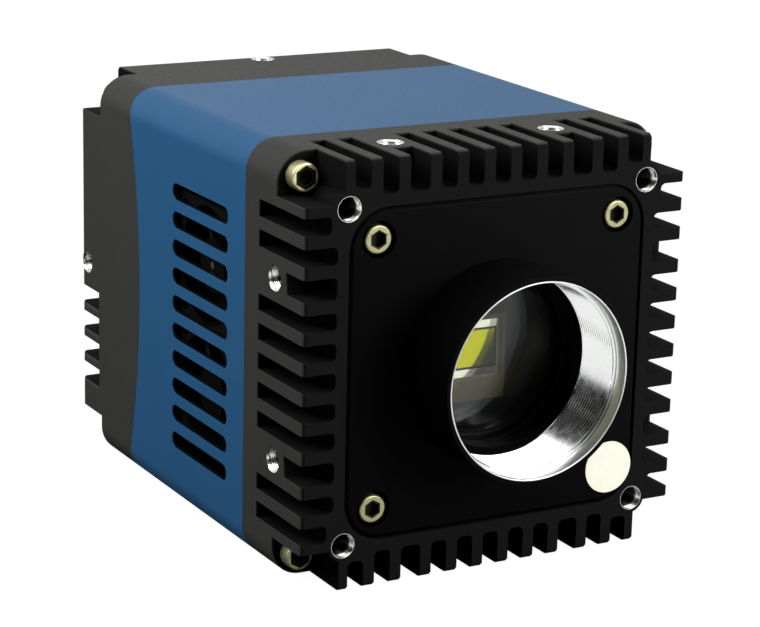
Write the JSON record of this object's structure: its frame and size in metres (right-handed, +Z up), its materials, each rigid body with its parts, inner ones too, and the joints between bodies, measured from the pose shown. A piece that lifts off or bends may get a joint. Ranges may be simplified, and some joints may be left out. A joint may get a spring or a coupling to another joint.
{
  "type": "machine vision camera",
  "caption": "Square machine vision camera with a finned black front, a threaded lens collar, a louvred blue sleeve and a dark rear casting; two fans turn inside.",
  "frame": {"origin": "centre of the lens mount's front face, on the optical axis", "axes": "+Y along the optical axis into the body, +Z up, +X to the right seen from the front"},
  "size_m": [0.08, 0.1227, 0.08],
  "materials": {
    "black_casting": "matt black anodised",
    "blue_cover": "satin blue anodised",
    "bare_aluminium": "bright machined",
    "screw_steel": "pale yellowish plated",
    "white_label": "smooth matt",
    "black_rubber": "matt",
    "grey_pad": "soft matt",
    "black_retainer": "matt black anodised",
    "window_glass": "polished and coated",
    "sensor_ceramic": "glazed ceramic",
    "sensor_surface": "polished chip",
    "circuit_board": "black solder mask",
    "black_plastic": "moulded",
    "bearing_bronze": "sintered",
    "copper_winding": "lacquered wire",
    "plated_socket": "nickel plated",
    "gold_contact": "gold plated",
    "clear_guide": "clear moulded"
  },
  "bodies": {
    "camera": {"front_housing": "black_casting", "lens_plate": "black_casting", "rear_housing": "black_casting", "cover": "blue_cover", "mount_ring": "bare_aluminium", "front_face_inserts": "bare_aluminium", "side_inserts": "bare_aluminium", "rear_inserts": "bare_aluminium", "heat_sink": "bare_aluminium", "heat_spreader": "bare_aluminium", "plate_screws": "screw_steel", "front_corner_screws": "screw_steel", "rear_corner_screws": "screw_steel", "board_screws": "screw_steel", "sensor_board_screws": "screw_steel", "interface_board_screws": "screw_steel", "fan_screws": "screw_steel", "board_standoffs": "screw_steel", "fan_bracket": "screw_steel", "round_sticker": "white_label", "window_gasket": "black_rubber", "thermal_pad": "grey_pad", "window_retainer": "black_retainer", "window_glass": "window_glass", "sensor_cover_glass": "window_glass", "sensor_package": "sensor_ceramic", "sensor_die": "sensor_surface", "sensor_board": "circuit_board", "processor_board": "circuit_board", "riser_board": "circuit_board", "interface_board": "circuit_board", "sensor_plug": "black_plastic", "sensor_receptacle": "black_plastic", "processor_chip": "black_plastic", "memory_chips": "black_plastic", "riser_connectors": "black_plastic", "upper_fan_frame": "black_plastic", "lower_fan_frame": "black_plastic", "power_parts": "black_plastic", "power_socket_insert": "black_plastic", "fan_bearings": "bearing_bronze", "fan_coils": "copper_winding", "data_sockets": "plated_socket", "data_socket_nuts": "plated_socket", "power_socket": "plated_socket", "power_socket_nut": "plated_socket", "data_socket_pins": "gold_contact", "power_socket_pins": "gold_contact", "status_light": "clear_guide"},
    "upper_fan": {"upper_fan_rotor": "black_plastic", "upper_fan_shaft": "screw_steel"},
    "lower_fan": {"lower_fan_rotor": "black_plastic", "lower_fan_shaft": "screw_steel"}
  },
  "joints": [
    {"name": "upper_fan_spin", "type": "hinge", "parent": "camera", "child": "upper_fan", "pos_m": [-0.0333, 0.0586, 0.0116], "axis": [1, 0, 0], "continuous": true},
    {"name": "lower_fan_spin", "type": "hinge", "parent": "camera", "child": "lower_fan", "pos_m": [-0.0333, 0.0586, -0.0136], "axis": [1, 0, 0], "continuous": true}
  ]
}
